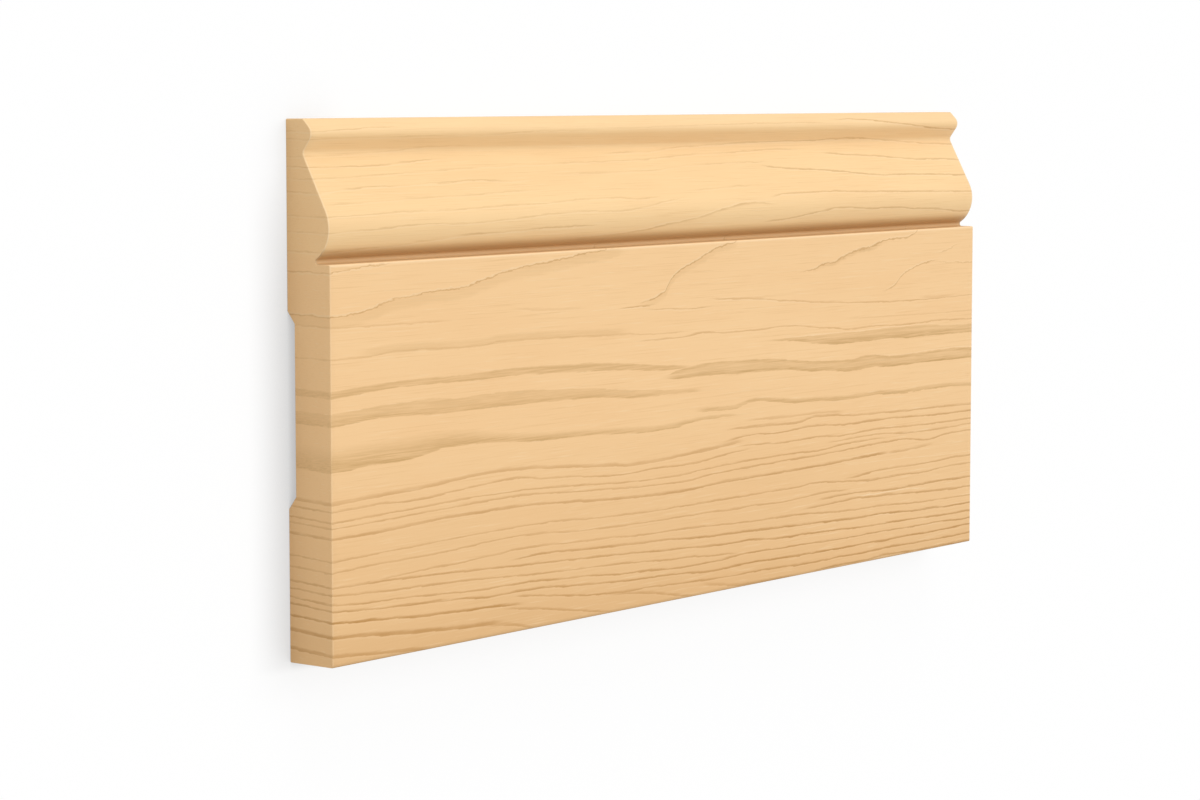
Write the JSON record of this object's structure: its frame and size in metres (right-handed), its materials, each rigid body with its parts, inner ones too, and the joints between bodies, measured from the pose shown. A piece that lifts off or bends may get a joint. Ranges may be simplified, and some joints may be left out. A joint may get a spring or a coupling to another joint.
{
  "type": "skirting board length",
  "caption": "Length of clear softwood skirting board: plain face, undercut quirk, ovolo and slope, cove and small bead, relief channel along the back.",
  "frame": {"origin": "on the back's plane, under the middle of the board's length and height", "axes": "+X along the board, +Y from the bottom edge to the moulded top edge, +Z from the back out through the plain face, so the board lies on its back"},
  "size_m": [0.372, 0.17, 0.018],
  "materials": {
    "softwood": "satin"
  },
  "bodies": {
    "root": {"skirting_board": "softwood"}
  },
  "joints": []
}
